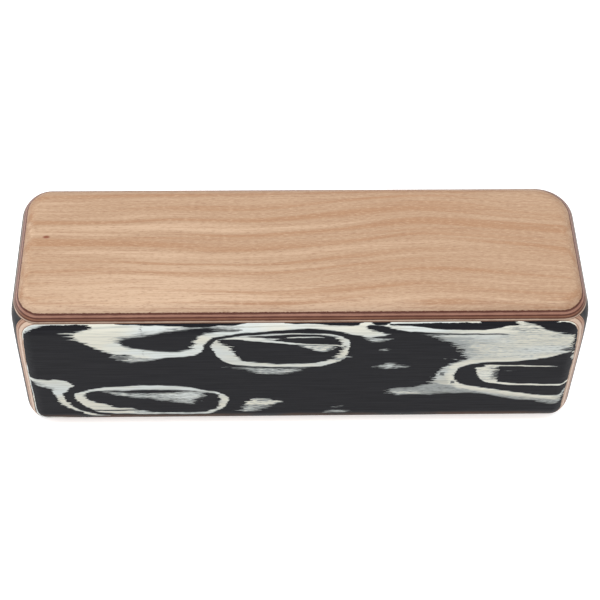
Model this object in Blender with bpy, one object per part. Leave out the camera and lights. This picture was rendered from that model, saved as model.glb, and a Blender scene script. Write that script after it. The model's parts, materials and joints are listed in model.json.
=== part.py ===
"""Hand-held wooden box shaker.

A lid, a floor panel and two long walls of plywood and two end boards of dark wood are glued into a closed
box, whose edges and corners are then sanded round, so that the plies show as contour lines. The lid lies
over the walls, the end boards stand between the long walls, and the floor panel is let in between them all.
Loose steel shot lies on the floor of the box. Each ply is a sheet of its own, cut to the rounded outside of
the whole box.

Metres, +Z up. The origin is the centre of the underside, +X runs along the box and -Y is the front.
"""

import math

import bmesh
import bpy
from mathutils import Vector

# Outside of the finished box
LENGTH = 0.170
DEPTH = 0.0547
HEIGHT = 0.0547

# Plies of the lid and the floor panel, from the outside in
LID_FACE_VENEER = 0.00165
LID_OUTER_PLY = 0.00075
LID_CORE_PLY = 0.00055
LID_INNER_PLY = 0.00055

# Plies of the long walls, from the outside in
WALL_FACE_VENEER = 0.0012
WALL_OUTER_PLY = 0.00095
WALL_CORE_PLY = 0.00065
WALL_INNER_PLY = 0.00025

# Solid boards at the two ends
END_BOARD = 0.006

# Glue between two plies, and between two panels
GLUE_LINE = 0.00005

# Sanded rounding of the edges of the lid and the underside: along the box, over its ends, and in height
LONG_ROUND_Y = 0.0080
END_ROUND_X = 0.0060
ROUND_Z = 0.0080

# Sanded rounding of the upright edges, which grows towards the lid. The back right corner is the roundest.
UPRIGHT_ROUND_X = 0.0065
UPRIGHT_ROUND_Y = 0.0085
UPPER_CORNER_X = 0.0103
UPPER_CORNER_Y = 0.0124
BACK_RIGHT_CORNER_X = 0.0141
BACK_RIGHT_CORNER_Y = 0.0156
CORNER_GROWTH = 4
ARC_STEPS = 10
UPRIGHT_STEPS = 4

# Side of the box along X and Y, and the two radii of the upright edge at the lid, for each corner in turn
CORNERS = (
    (1, 1, BACK_RIGHT_CORNER_X, BACK_RIGHT_CORNER_Y),
    (-1, 1, UPPER_CORNER_X, UPPER_CORNER_Y),
    (-1, -1, UPPER_CORNER_X, UPPER_CORNER_Y),
    (1, -1, UPPER_CORNER_X, UPPER_CORNER_Y),
)

# Steel shot, spread over the floor of the box in rows
SHOT_DIAMETER = 0.006
SHOT_COLUMNS = 7
SHOT_ROWS = 4
SHOT_CLEARANCE = 0.0003
SHOT_SEGMENTS = 12
SHOT_RINGS = 8

# Raw sheets stand out this far past the rounded outside before they are sanded
SANDING_ALLOWANCE = 0.002

LAYER_NAMES = ("face_veneer", "outer_ply", "core_ply", "inner_ply")
LID_LAYERS = (LID_FACE_VENEER, LID_OUTER_PLY, LID_CORE_PLY, LID_INNER_PLY)
WALL_LAYERS = (WALL_FACE_VENEER, WALL_OUTER_PLY, WALL_CORE_PLY, WALL_INNER_PLY)

# Materials: base colour, roughness, metallic
LIGHT_VENEER = ("light_veneer", (0.62, 0.42, 0.27), 0.50, 0.0)
FIGURED_VENEER = ("figured_veneer", (0.06, 0.06, 0.065), 0.45, 0.0)
PINK_PLY = ("pink_ply", (0.32, 0.16, 0.11), 0.60, 0.0)
BROWN_PLY = ("brown_ply", (0.24, 0.11, 0.07), 0.60, 0.0)
PALE_PLY = ("pale_ply", (0.52, 0.38, 0.28), 0.60, 0.0)
TAN_PLY = ("tan_ply", (0.62, 0.47, 0.36), 0.60, 0.0)
DARK_WOOD = ("dark_wood", (0.05, 0.05, 0.05), 0.55, 0.0)
STEEL = ("steel", (0.56, 0.57, 0.58), 0.25, 1.0)

LID_MATERIALS = (LIGHT_VENEER, PINK_PLY, BROWN_PLY, PALE_PLY)
WALL_MATERIALS = (FIGURED_VENEER, TAN_PLY, PINK_PLY, PALE_PLY)


def panel_thickness(layers):
    """Thickness of a panel: its plies and the glue between them."""
    return sum(layers) + GLUE_LINE * (len(layers) - 1)


def layer_spans(layers):
    """Depth below the outside at which each ply starts and ends."""
    spans = []
    depth = 0.0
    for thickness in layers:
        spans.append((depth, depth + thickness))
        depth += thickness + GLUE_LINE
    return spans


LID_THICKNESS = panel_thickness(LID_LAYERS)
WALL_THICKNESS = panel_thickness(WALL_LAYERS)

# The hollow of the box
FLOOR_Z = LID_THICKNESS
CEILING_Z = HEIGHT - LID_THICKNESS
HOLLOW_LENGTH = LENGTH - 2 * END_BOARD
HOLLOW_DEPTH = DEPTH - 2 * WALL_THICKNESS

# Walls and end boards run from the underside up to the lid
WALL_TOP = CEILING_Z - GLUE_LINE
WALL_BOTTOM = -SANDING_ALLOWANCE
INSIDE_HALF_LENGTH = HOLLOW_LENGTH / 2 - GLUE_LINE
INSIDE_HALF_DEPTH = HOLLOW_DEPTH / 2 - GLUE_LINE


def clear_scene():
    for item in list(bpy.data.objects):
        bpy.data.objects.remove(item, do_unlink=True)


def make_material(spec):
    """One Principled material for each spec, made once and shared."""
    name, colour, roughness, metallic = spec
    material = bpy.data.materials.get(name)
    if material:
        return material
    material = bpy.data.materials.new(name)
    material.use_nodes = True
    shader = material.node_tree.nodes["Principled BSDF"]
    shader.inputs["Base Color"].default_value = (*colour, 1.0)
    shader.inputs["Roughness"].default_value = roughness
    shader.inputs["Metallic"].default_value = metallic
    return material


def add_object(name, mesh, parent=None, location=(0.0, 0.0, 0.0)):
    item = bpy.data.objects.new(name, mesh)
    item.location = location
    item.parent = parent
    bpy.context.scene.collection.objects.link(item)
    return item


def mesh_from(name, builder):
    """Runs builder on a fresh bmesh and returns the mesh it leaves."""
    shape = bmesh.new()
    builder(shape)
    bmesh.ops.recalc_face_normals(shape, faces=shape.faces)
    mesh = bpy.data.meshes.new(name)
    shape.to_mesh(mesh)
    shape.free()
    return mesh


def outline_heights():
    """Heights of the outlines that the rounded outside is built from, from the underside to the lid."""
    drops = [ROUND_Z * (1 - math.sin(step / ARC_STEPS * math.pi / 2)) for step in range(ARC_STEPS + 1)]
    start = HEIGHT / 2
    rise = HEIGHT - ROUND_Z - start
    upright = [start + rise * step / UPRIGHT_STEPS for step in range(UPRIGHT_STEPS)]
    return drops[::-1] + upright + [HEIGHT - drop for drop in drops]


def outline_ring(shape, height):
    """Outline of the rounded outside at a height, as a ring of vertices."""
    to_face = min(height, HEIGHT - height)
    turned = math.asin(min(max(1 - to_face / ROUND_Z, 0.0), 1.0))
    inset = 1 - math.cos(turned)
    growth = max(2 * height / HEIGHT - 1, 0.0) ** CORNER_GROWTH
    ring = []
    for quarter, (side_x, side_y, upper_x, upper_y) in enumerate(CORNERS):
        full_x = UPRIGHT_ROUND_X + (upper_x - UPRIGHT_ROUND_X) * growth
        full_y = UPRIGHT_ROUND_Y + (upper_y - UPRIGHT_ROUND_Y) * growth
        centre_x = side_x * (LENGTH / 2 - full_x)
        centre_y = side_y * (DEPTH / 2 - full_y)
        for step in range(ARC_STEPS + 1):
            turn = (quarter + step / ARC_STEPS) * math.pi / 2
            x = centre_x + (full_x - END_ROUND_X * inset) * math.cos(turn)
            y = centre_y + (full_y - LONG_ROUND_Y * inset) * math.sin(turn)
            ring.append(shape.verts.new((x, y, height)))
    return ring


def build_rounded_outside(shape):
    """The sanded outside of the whole box: rings from the underside to the lid, joined by faces."""
    rings = [outline_ring(shape, height) for height in outline_heights()]
    for lower, higher in zip(rings, rings[1:]):
        for start in range(len(lower)):
            end = (start + 1) % len(lower)
            shape.faces.new((lower[start], lower[end], higher[end], higher[start]))
    shape.faces.new(rings[0])
    shape.faces.new(rings[-1])


def add_rounded_outside():
    mesh = mesh_from("rounded_outside", build_rounded_outside)
    mesh.shade_smooth()
    outside = add_object("rounded_outside", mesh)
    outside.hide_render = True
    outside.display_type = "WIRE"
    return outside


def add_sheet(name, low, high, spec, case, outside):
    """A flat sheet between two opposite corners, sanded to the rounded outside of the box."""
    size = Vector(high) - Vector(low)

    def build_sheet(shape):
        bmesh.ops.create_cube(shape, size=1.0)
        bmesh.ops.scale(shape, vec=size, verts=shape.verts)

    sheet = add_object(name, mesh_from(name, build_sheet), case, (Vector(low) + Vector(high)) / 2)
    sheet.data.materials.append(make_material(spec))
    sanding = sheet.modifiers.new("sanding", "BOOLEAN")
    sanding.operation = "INTERSECT"
    sanding.solver = "EXACT"
    sanding.object = outside
    return sheet


def add_panel(panel, layers, specs, half_sizes, centre_z, axis, side, case, outside):
    """The plies of one panel, which faces along axis (0, 1 or 2) on its side (-1 or 1) of the box.

    half_sizes gives the panel's half extent along each axis, and along its own axis the place of its
    outer face, measured from the middle of the box at the height centre_z.
    """
    for layer, span, spec in zip(LAYER_NAMES, layer_spans(layers), specs):
        outer = half_sizes[axis] - span[0]
        if span[0] == 0.0:
            outer += SANDING_ALLOWANCE
        inner = half_sizes[axis] - span[1]
        low = [-half for half in half_sizes]
        high = list(half_sizes)
        low[axis], high[axis] = sorted((side * inner, side * outer))
        low[2] += centre_z
        high[2] += centre_z
        add_sheet(f"{panel}_{layer}", low, high, spec, case, outside)


def add_panels(case, outside):
    full_x = LENGTH / 2 + SANDING_ALLOWANCE
    full_y = DEPTH / 2 + SANDING_ALLOWANCE
    middle = HEIGHT / 2
    wall_middle = (WALL_TOP + WALL_BOTTOM) / 2
    wall_half_z = (WALL_TOP - WALL_BOTTOM) / 2
    lid_sizes = (full_x, full_y, middle)
    floor_sizes = (INSIDE_HALF_LENGTH, INSIDE_HALF_DEPTH, middle)
    wall_sizes = (full_x, DEPTH / 2, wall_half_z)
    add_panel("top", LID_LAYERS, LID_MATERIALS, lid_sizes, middle, 2, 1, case, outside)
    add_panel("bottom", LID_LAYERS, LID_MATERIALS, floor_sizes, middle, 2, -1, case, outside)
    add_panel("front", WALL_LAYERS, WALL_MATERIALS, wall_sizes, wall_middle, 1, -1, case, outside)
    add_panel("back", WALL_LAYERS, WALL_MATERIALS, wall_sizes, wall_middle, 1, 1, case, outside)


def add_end_boards(case, outside):
    inner = LENGTH / 2 - END_BOARD
    outer = LENGTH / 2 + SANDING_ALLOWANCE
    for name, ends in (("left_end_board", (-outer, -inner)), ("right_end_board", (inner, outer))):
        low = (ends[0], -INSIDE_HALF_DEPTH, WALL_BOTTOM)
        high = (ends[1], INSIDE_HALF_DEPTH, WALL_TOP)
        add_sheet(name, low, high, DARK_WOOD, case, outside)


def shot_places():
    """Centres of the shot at rest on the floor, in rows that are staggered by half a step."""
    step_x = HOLLOW_LENGTH / (SHOT_COLUMNS + 0.5)
    step_y = HOLLOW_DEPTH / SHOT_ROWS
    height = FLOOR_Z + SHOT_CLEARANCE + SHOT_DIAMETER / 2
    places = []
    for row in range(SHOT_ROWS):
        stagger = 0.25 if row % 2 else -0.25
        for column in range(SHOT_COLUMNS):
            x = (column - (SHOT_COLUMNS - 1) / 2 + stagger) * step_x
            y = (row - (SHOT_ROWS - 1) / 2) * step_y
            places.append((x, y, height))
    return places


def build_ball(shape):
    bmesh.ops.create_uvsphere(shape, u_segments=SHOT_SEGMENTS, v_segments=SHOT_RINGS, radius=SHOT_DIAMETER / 2)


def add_shot():
    mesh = mesh_from("steel_shot", build_ball)
    mesh.shade_smooth()
    mesh.materials.append(make_material(STEEL))
    for number, place in enumerate(shot_places(), start=1):
        add_object(f"steel_shot_{number:02d}", mesh, location=place)


def main():
    clear_scene()
    case = add_object("case", None)
    outside = add_rounded_outside()
    add_panels(case, outside)
    add_end_boards(case, outside)
    add_shot()


main()
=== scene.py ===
"""Looks of the hand-held wooden box shaker.

Every ply is made again as a finely rounded sheet in the frame of its own panel: X along the sheet, Y across
it and Z out of its outer face. The woods are solid textures in that frame, so the plies and their glue lines
show as contour lines wherever the box is sanded round. Lengths are metres in the meshes and millimetres in
the materials.
"""

import json
import math
from collections import namedtuple

import bmesh
import bpy
from mathutils import Color, Matrix, Vector, noise


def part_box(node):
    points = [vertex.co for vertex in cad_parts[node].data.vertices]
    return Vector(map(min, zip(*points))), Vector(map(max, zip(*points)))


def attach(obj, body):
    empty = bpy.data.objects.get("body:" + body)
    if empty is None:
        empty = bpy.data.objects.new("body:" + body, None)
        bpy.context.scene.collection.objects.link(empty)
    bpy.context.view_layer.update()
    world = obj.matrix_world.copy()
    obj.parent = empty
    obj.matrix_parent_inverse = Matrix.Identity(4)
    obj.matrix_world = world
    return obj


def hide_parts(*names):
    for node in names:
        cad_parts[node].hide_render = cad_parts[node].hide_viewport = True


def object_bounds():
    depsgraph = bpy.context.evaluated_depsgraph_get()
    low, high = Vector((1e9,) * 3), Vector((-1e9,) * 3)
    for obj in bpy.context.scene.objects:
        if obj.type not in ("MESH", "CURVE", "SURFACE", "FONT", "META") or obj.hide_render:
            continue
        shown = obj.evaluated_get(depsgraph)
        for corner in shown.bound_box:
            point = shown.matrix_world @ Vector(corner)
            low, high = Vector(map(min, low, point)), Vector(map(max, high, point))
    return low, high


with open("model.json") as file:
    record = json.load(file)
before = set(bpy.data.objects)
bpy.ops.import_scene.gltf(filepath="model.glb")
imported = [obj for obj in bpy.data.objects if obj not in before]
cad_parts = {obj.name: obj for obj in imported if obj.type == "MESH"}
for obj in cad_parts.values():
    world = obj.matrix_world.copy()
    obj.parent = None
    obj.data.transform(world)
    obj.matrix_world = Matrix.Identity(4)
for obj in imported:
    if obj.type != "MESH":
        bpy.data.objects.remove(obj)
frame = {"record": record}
CAD_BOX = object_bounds()
LOW = Vector(CAD_BOX[0])
HIGH = Vector(CAD_BOX[1])
LENGTH, DEPTH, HEIGHT = HIGH - LOW
CENTRE = (LOW + HIGH) / 2
MILLIMETRES = 1000.0

# Sanded rounding: over the long edges and the ends, and of the upright edges, which are rounder towards the
# lid. The back right corner is sanded rounder than the other three.
LONG_ROUND_Y = 0.0080
END_ROUND_X = 0.0060
ROUND_Z = 0.0080
UPRIGHT_ROUND_X = 0.0065
UPRIGHT_ROUND_Y = 0.0085
UPPER_CORNER_X = 0.0103
UPPER_CORNER_Y = 0.0124
BACK_RIGHT_CORNER_X = 0.0141
BACK_RIGHT_CORNER_Y = 0.0156
CORNER_GROWTH = 4
CORNERS = (
    (1, 1, BACK_RIGHT_CORNER_X, BACK_RIGHT_CORNER_Y),
    (-1, 1, UPPER_CORNER_X, UPPER_CORNER_Y),
    (-1, -1, UPPER_CORNER_X, UPPER_CORNER_Y),
    (1, -1, UPPER_CORNER_X, UPPER_CORNER_Y),
)
ARC_STEPS = 28
UPRIGHT_STEPS = 12

# Raw sheets stand out this far past the rounded outside before they are sanded
SANDING_ALLOWANCE = 0.002
SHARP_ANGLE = math.radians(28)

# Panels: the way each one faces, the way its Y runs, and the sides on which it runs out to the sanded outside
Panel = namedtuple("Panel", "kind out up sanded")
PANELS = {
    "top": Panel("lid", (0, 0, 1), (0, 1, 0), ("-x", "+x", "-y", "+y")),
    "bottom": Panel("lid", (0, 0, -1), (0, -1, 0), ()),
    "front": Panel("wall", (0, -1, 0), (0, 0, 1), ("-x", "+x", "-z")),
    "back": Panel("wall", (0, 1, 0), (0, 0, -1), ("-x", "+x", "-z")),
    "left_end": Panel("board", (-1, 0, 0), (0, 0, 1), ("-z",)),
    "right_end": Panel("board", (1, 0, 0), (0, 0, 1), ("-z",)),
}
LAYERS = {
    "lid": {"face_veneer": "light_veneer", "outer_ply": "pink_ply", "core_ply": "brown_ply",
            "inner_ply": "pale_ply"},
    "wall": {"face_veneer": "figured_veneer", "outer_ply": "tan_ply", "core_ply": "pink_ply",
             "inner_ply": "pale_ply"},
    "board": {"board": "dark_wood"},
}

# Camera at the angle of the photograph, in an image 600 pixels wide and high
VIEW_ELEVATION = math.radians(51.037)
VIEW_AZIMUTH = math.radians(-2.338)
VIEW_ROLL = math.radians(1.442)
VIEW_DISTANCE = 0.4777
SENSOR = 36.0
LENS = 91.81
SHIFT_X = 0.0020
SHIFT_Y = 0.0058

# Tones of the veneer on the long walls
WHITE = 1.0
PALE = 0.91
CHALK = 0.76
DRY = 0.50
BLACK = 0.0

# Figure of that veneer, painted in this order on a black ground. Each patch has its tone, the length over
# which it frays along the grain, the width over which its edges fade, its cover, and its upper and lower edge
# from left to right. Places are millimetres along the front wall from its middle and above its lower edge.
Patch = namedtuple("Patch", "tone fray soft cover upper lower")
TOP = 51.6
FIGURE = (
    # White mass on the upper left with its fingers and its foot
    Patch(WHITE, 2.4, 1.0, 0.65, ((-55.6, 38.5), (-52, 38), (-44, 37.4), (-40, 36.4)),
          ((-55.6, 37.2), (-54.4, 35.4), (-53, 34.4), (-51, 33.9), (-48, 34.2), (-44, 34.9), (-40, 35.9))),
    Patch(WHITE, 2.2, 0.6, 1.0,
          ((-66.3, 48.5), (-64.5, 48.8), (-62.9, 49.1), (-61.4, 49.8), (-60.9, TOP), (-46, TOP)),
          ((-66.3, 44.6), (-65, 43.9), (-62.9, 42.7), (-61.6, 41.7), (-59.7, 40.2), (-57, 38.5),
           (-55.8, 37.9), (-54, 37.2), (-51, 36.6), (-47.5, 36), (-46, 35.6))),
    Patch(WHITE, 3.0, 0.4, 0.8, ((-71.4, 47.9), (-69, 48.2), (-65.5, 48.3)),
          ((-71.4, 47.7), (-69, 47.5), (-65.5, 47.3))),
    Patch(WHITE, 2.0, 0.3, 0.9, ((-70.6, 46.6), (-68, 46.8), (-65.5, 46.8)),
          ((-70.6, 46.4), (-68, 46.2), (-65.5, 46.1))),
    Patch(WHITE, 2.0, 0.3, 0.9, ((-69.7, 45.2), (-67, 45.5), (-65, 45.6)),
          ((-69.7, 45), (-67, 44.6), (-65, 44.2))),
    Patch(WHITE, 2.0, 0.5, 0.4, ((-57.5, 36.6), (-56, 36.9), (-54, 36.7)),
          ((-57.5, 36.3), (-56, 35.9), (-54, 35.6))),
    Patch(BLACK, 2.0, 0.3, 0.8, ((-54.6, 37.5), (-52, 37.6), (-50.3, 37.2)),
          ((-54.6, 37), (-52, 36.9), (-50.3, 37))),
    Patch(BLACK, 2.0, 0.3, 0.75, ((-54.9, 36.3), (-52.5, 36.5), (-51.3, 36.2)),
          ((-54.9, 35.9), (-52.5, 35.9), (-51.3, 36.1))),
    Patch(BLACK, 2.0, 0.3, 0.6, ((-54.2, 35.5), (-51, 35.6)), ((-54.2, 35.2), (-51, 35.3))),
    # White upper left corner
    Patch(CHALK, 1.2, 0.4, 1.0, ((-84, TOP), (-69, TOP)),
          ((-84, 44), (-81.3, 46), (-80.2, 47.6), (-79, 48.7), (-78, 49.3), (-76.5, 49.9), (-75, 50.3),
           (-72, 50.6), (-69, 50.9))),
    # Band that runs on from the mass, up beside the ring and along the top, and its frayed right end
    Patch(WHITE, 0.8, 0.4, 1.0, ((-46.5, TOP), (17.2, TOP)),
          ((-46.5, 35.6), (-44, 35.5), (-41, 35.7), (-38.5, 36), (-33.5, 36.6), (-31.5, 37), (-30.2, 37.8),
           (-29.5, 38.7), (-29, 39.9), (-28.8, 41.7), (-28.2, 42.7), (-27.5, 43.6), (-26.2, 45.2),
           (-23.8, 45.9), (-21.5, 46.6), (-18, 47.3), (-14, 47.7), (-10.2, 47.9), (-6.3, 48.3),
           (-2.5, 48.7), (1.4, 48.85), (5.2, 48.7), (8.3, 48.3), (11, 47.8), (13.7, 47.1), (17.2, 46))),
    Patch(WHITE, 2.0, 0.3, 1.0,
          ((13, TOP), (17.8, TOP), (18.6, 49.5), (20.5, 48.5), (22, 47.8), (24, 47.2), (26.2, 46.9)),
          ((13, 47.2), (15, 46.5), (17, 45.9), (19, 45.2), (20.5, 45.3), (22.5, 45.6), (24, 45.9),
           (26.2, 46.6))),
    Patch(WHITE, 3.0, 0.8, 0.6, ((18.8, 45.8), (20.5, 45.6), (22, 45.2), (25.2, 44.4)),
          ((18.8, 45), (20, 43.8), (22, 42.8), (23.6, 43), (25.2, 43.7))),
    # Black lens inside the band, soft above
    Patch(BLACK, 5.0, 1.6, 0.45,
          ((-54.5, 45.2), (-50, 46.6), (-46, 47.3), (-43, 47.9), (-40, 48.7), (-36, 49.5), (-32, 50),
           (-26, 50.2), (-19, 49.6)),
          ((-54.5, 43.6), (-50, 44.6), (-46, 45.6), (-43, 46.3), (-40, 47), (-36, 48.2), (-32, 48.6),
           (-26, 48.6), (-19, 48.8))),
    Patch(BLACK, 2.6, 1.0, 1.0,
          ((-53.8, 44.5), (-52, 45), (-50, 45.5), (-46, 46.3), (-43.5, 46.9), (-40.8, 47.6), (-38.5, 48.2),
           (-36, 48.8), (-33, 49.2), (-30, 49.4), (-27, 49.3), (-23.8, 49), (-20.8, 48.8), (-18, 48.6)),
          ((-53.8, 43.8), (-53.2, 43), (-52, 42), (-50, 40.9), (-46, 40), (-43, 39.5), (-40, 39),
           (-37.5, 38.9), (-35.5, 39.4), (-33.5, 39.8), (-32.4, 40.2), (-32.1, 42.5), (-31.6, 44),
           (-30.8, 45.5), (-29.2, 46.9), (-27, 47.9), (-24.6, 48.3), (-21.5, 48.5), (-18, 48.5))),
    # Ring in the middle, the lines inside it and the soft streak under it
    Patch(PALE, 0.8, 0.4, 1.0,
          ((-26.7, 41.2), (-26.4, 42.3), (-26, 43.3), (-25, 44.4), (-23.5, 45), (-20, 46), (-17, 46.5),
           (-14, 46.8), (-10.2, 47.1), (-6.3, 47.3), (-2.5, 47.5), (1.4, 47.5), (4.5, 47.4), (7.5, 47.2),
           (9.8, 46.7), (11.8, 45.8), (13.3, 44.7), (14.2, 43.3), (14.5, 42)),
          ((-26.7, 40.6), (-26.3, 39.7), (-25.7, 38.2), (-24.7, 36.2), (-23.7, 34.7), (-22.5, 33.6),
           (-21, 32.6), (-19, 32), (-15, 31.4), (-10, 31), (-5, 30.9), (0, 30.8), (3.5, 30.9), (6, 31.3),
           (8.5, 32.2), (10.8, 33.2), (12.7, 34.8), (13.6, 37.2), (14.1, 40), (14.4, 41.5))),
    Patch(WHITE, 1.5, 0.5, 0.6, ((12.6, 36.6), (13.8, 36.5), (14.8, 36)),
          ((12.6, 35.6), (13.6, 35.4), (14.8, 35.7))),
    Patch(BLACK, 2.2, 0.5, 1.0,
          ((-23.7, 44.2), (-23, 44.5), (-21, 44.9), (-16, 45.6), (-14, 45.9), (-10.2, 46.2), (-6.3, 46.4),
           (-2.5, 46.6), (1.4, 46.7), (4.5, 46.6), (7.1, 46.2), (9.1, 45.6), (10.6, 44.7), (11.6, 43.5),
           (12.1, 41)),
          ((-23.7, 43.6), (-22.7, 42.5), (-21.2, 41.6), (-20.8, 40.5), (-20.3, 39), (-19.7, 37.8),
           (-19.1, 36.6), (-18.5, 35.3), (-17.5, 34.3), (-14.4, 33.7), (-11, 33.2), (-8, 32.7), (-5, 32.5),
           (0, 32.7), (3.5, 33), (6, 33.5), (8, 34.4), (9.5, 35.3), (10.5, 36.5), (11.5, 38), (12, 39.6),
           (12.1, 40.7))),
    Patch(BLACK, 1.5, 0.3, 0.5, ((9.6, 35.1), (11, 35), (12.6, 35.9)),
          ((9.6, 34.8), (11, 34.3), (12.6, 35.3))),
    Patch(WHITE, 0.8, 0.25, 1.0,
          ((-23, 45.1), (-20, 45.6), (-16, 45.8), (-14, 45.6), (-11, 44.8), (-8, 44.1), (-4, 43.3), (0, 42.6),
           (3.5, 42.3), (7, 42.1), (10.5, 41.9), (12.4, 41.5)),
          ((-23, 44.5), (-20, 44.5), (-16, 43.9), (-14, 43.6), (-11, 43.2), (-8, 42.7), (-4, 42.1), (0, 41.7),
           (3.5, 41.5), (7, 41.3), (10.5, 41), (12.4, 40.5))),
    Patch(WHITE, 2.0, 0.3, 0.85, ((-16, 45.6), (-13, 45.6), (-10, 45.3), (-6, 45)),
          ((-16, 44.4), (-13, 44.3), (-10, 44.1), (-6, 44.4))),
    Patch(WHITE, 1.5, 0.3, 0.95, ((-5, 45.6), (-2, 45.8), (2, 45.9), (6.5, 45.6)),
          ((-5, 45), (-2, 45), (2, 45), (6.5, 45.1))),
    Patch(WHITE, 2.4, 0.6, 0.8, ((-0.5, 41.7), (3.5, 41.6), (7, 41.5), (10, 41.2)),
          ((-0.5, 41.4), (1, 40.6), (2.6, 39.8), (4, 38.9), (6, 38.3), (7.5, 38.5), (8.7, 39.2), (9.5, 40.1),
           (10, 41))),
    Patch(BLACK, 0.8, 0.3, 0.5, ((7.4, 39.3), (8.6, 40.1), (9.6, 41)), ((7.4, 39), (8.6, 39.6), (9.6, 40.5))),
    Patch(WHITE, 3.5, 1.2, 0.5, ((-20.5, 31), (-16, 30.9), (-10, 30.7), (-5, 30.5), (1, 30)),
          ((-20.5, 30.6), (-18, 30.2), (-16, 29.5), (-14, 28.5), (-11, 27.6), (-8, 27.4), (-5, 27.7),
           (-3, 28.4), (1, 29.5))),
    # Streak on the lower left and the band that runs down from it
    Patch(PALE, 1.2, 0.35, 1.0,
          ((-84, 26.2), (-80.5, 26), (-79, 25.8), (-76, 25.4), (-74, 25.7), (-72.5, 25.3), (-70.5, 24.5),
           (-69.3, 23.5), (-68.7, 22.5)),
          ((-84, 24.8), (-81, 24.2), (-80.2, 22.8), (-78.5, 21.9), (-77, 21.1), (-75, 20), (-72.4, 18.6),
           (-71.4, 18.8), (-70.4, 20), (-69.5, 21.1), (-68.7, 22))),
    Patch(BLACK, 3.0, 1.0, 0.4, ((-84, 24.6), (-80, 24), (-77, 22.2), (-75, 21.4)),
          ((-84, 23.4), (-80, 22.6), (-77, 20.8), (-75, 20))),
    Patch(PALE, 1.2, 0.6, 1.0,
          ((-75.4, 20.6), (-72.6, 20.4), (-72.2, 17.2), (-71.9, 15.6), (-71.3, 14), (-70.6, 13),
           (-69.5, 11.5), (-68.3, 10.2), (-67.2, 9.4), (-65.6, 8.6), (-64.5, 8.2), (-62.9, 7.2),
           (-61.4, 6.7), (-58.5, 6.3)),
          ((-75.4, 20), (-74.9, 18.5), (-74.6, 17), (-74.2, 15.5), (-73.6, 13.6), (-72.6, 11.9),
           (-71.3, 10.9), (-70.2, 10.1), (-69.1, 9.3), (-67.5, 8.5), (-66.4, 7.4), (-64.8, 6.6),
           (-62.9, 6.2), (-58.5, 5.8))),
    # Ring on the lower left, the lines along its foot and the soft patch inside it
    Patch(PALE, 0.8, 0.5, 1.0,
          ((-69, 17.3), (-68.7, 18.2), (-67.5, 19), (-66, 19.5), (-63.5, 20.5), (-60, 21.3), (-56, 21.8),
           (-51, 22.2), (-47, 22.4), (-43.5, 22.3), (-40, 22), (-37, 21.7), (-34, 21.2), (-31, 20.3),
           (-28.5, 19.5), (-26, 18.9), (-24.5, 18.2), (-23.2, 17.2), (-22.2, 16), (-21.7, 14.3)),
          ((-69, 16.8), (-68.6, 15.6), (-68.1, 14.3), (-67.2, 12.9), (-66.2, 11.6), (-64.8, 10.4),
           (-63.6, 9.3), (-62.8, 8.5), (-59.6, 7.8), (-55.7, 7.4), (-50, 7), (-45, 6.9), (-38, 6.8),
           (-30.5, 6.8), (-28.2, 7), (-26.6, 7.8), (-25.5, 8.6), (-23.9, 10), (-23, 11.3), (-22.3, 12.9),
           (-21.8, 14))),
    Patch(BLACK, 1.4, 0.6, 1.0,
          ((-65.8, 17.2), (-65.2, 18.5), (-64.3, 19), (-62, 19.2), (-59, 19.5), (-55, 19.6), (-50, 19.7),
           (-42, 19.7), (-38, 19.5), (-34, 19.2), (-31, 18.7), (-28, 18.1), (-26, 17.6), (-25.2, 17),
           (-24.7, 15)),
          ((-65.8, 16.8), (-65.4, 15.7), (-64.5, 14.7), (-62.5, 13.7), (-60.5, 13), (-58.5, 12.1),
           (-57.6, 11.4), (-55.7, 10.8), (-53.2, 10.5), (-50.8, 10.2), (-49.4, 9.4), (-47, 8.8), (-45, 8.3),
           (-42, 8), (-36, 8), (-30.5, 8), (-29.2, 8.1), (-28.1, 8.7), (-26.6, 9.8), (-25.6, 10.7),
           (-25.1, 11.7), (-24.7, 13.5))),
    Patch(BLACK, 1.0, 0.2, 0.95, ((-64.6, 9.5), (-60, 9.4), (-54.5, 9.4), (-49, 9.4)),
          ((-64.6, 9.2), (-60, 9.1), (-54.5, 9.1), (-49, 9.2))),
    Patch(BLACK, 1.5, 0.3, 0.4, ((-50.5, 8.3), (-45, 8.3)), ((-50.5, 8), (-45, 8))),
    Patch(WHITE, 3.0, 1.0, 0.55,
          ((-59.6, 19.2), (-56, 18.9), (-53, 18.5), (-50, 18.3), (-46, 18.2), (-43, 18.4), (-40, 18.4),
           (-37, 18.8), (-34, 19), (-31, 18.9), (-29.3, 18)),
          ((-59.6, 18.9), (-57.5, 18), (-56, 17.3), (-53.5, 16.5), (-51, 15.9), (-48, 15.5), (-45, 15),
           (-42.5, 14.4), (-40, 13.9), (-38, 13.3), (-36, 12.7), (-34, 12.2), (-32.7, 13.2), (-31.5, 14.5),
           (-30.5, 15.5), (-29.3, 17.2))),
    Patch(WHITE, 3.0, 0.6, 0.6, ((-42, 18), (-38, 18.3), (-34, 18.5), (-30.5, 18)),
          ((-42, 16.5), (-38, 15), (-34, 14.6), (-30.5, 16.5))),
    # Small frayed patches between the rings
    Patch(WHITE, 3.0, 0.9, 0.5, ((-18.6, 8.8), (-17.4, 10.4), (-16.5, 12), (-12, 12), (-9, 11.6)),
          ((-18.6, 8.1), (-15, 8), (-12.5, 8.6), (-11, 9.6), (-9, 10.8))),
    Patch(WHITE, 2.4, 0.6, 0.95,
          ((-16.8, 12.4), (-15.8, 13.6), (-14.6, 14.7), (-12, 15.1), (-9.4, 14.7), (-8.2, 14), (-6, 13.3)),
          ((-16.8, 11.8), (-14, 11.5), (-10, 11.5), (-8, 12), (-6, 12.8))),
    Patch(BLACK, 1.5, 0.4, 0.6, ((-12.8, 14), (-10.3, 14.2)), ((-12.8, 13.7), (-10.3, 13.6))),
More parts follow.
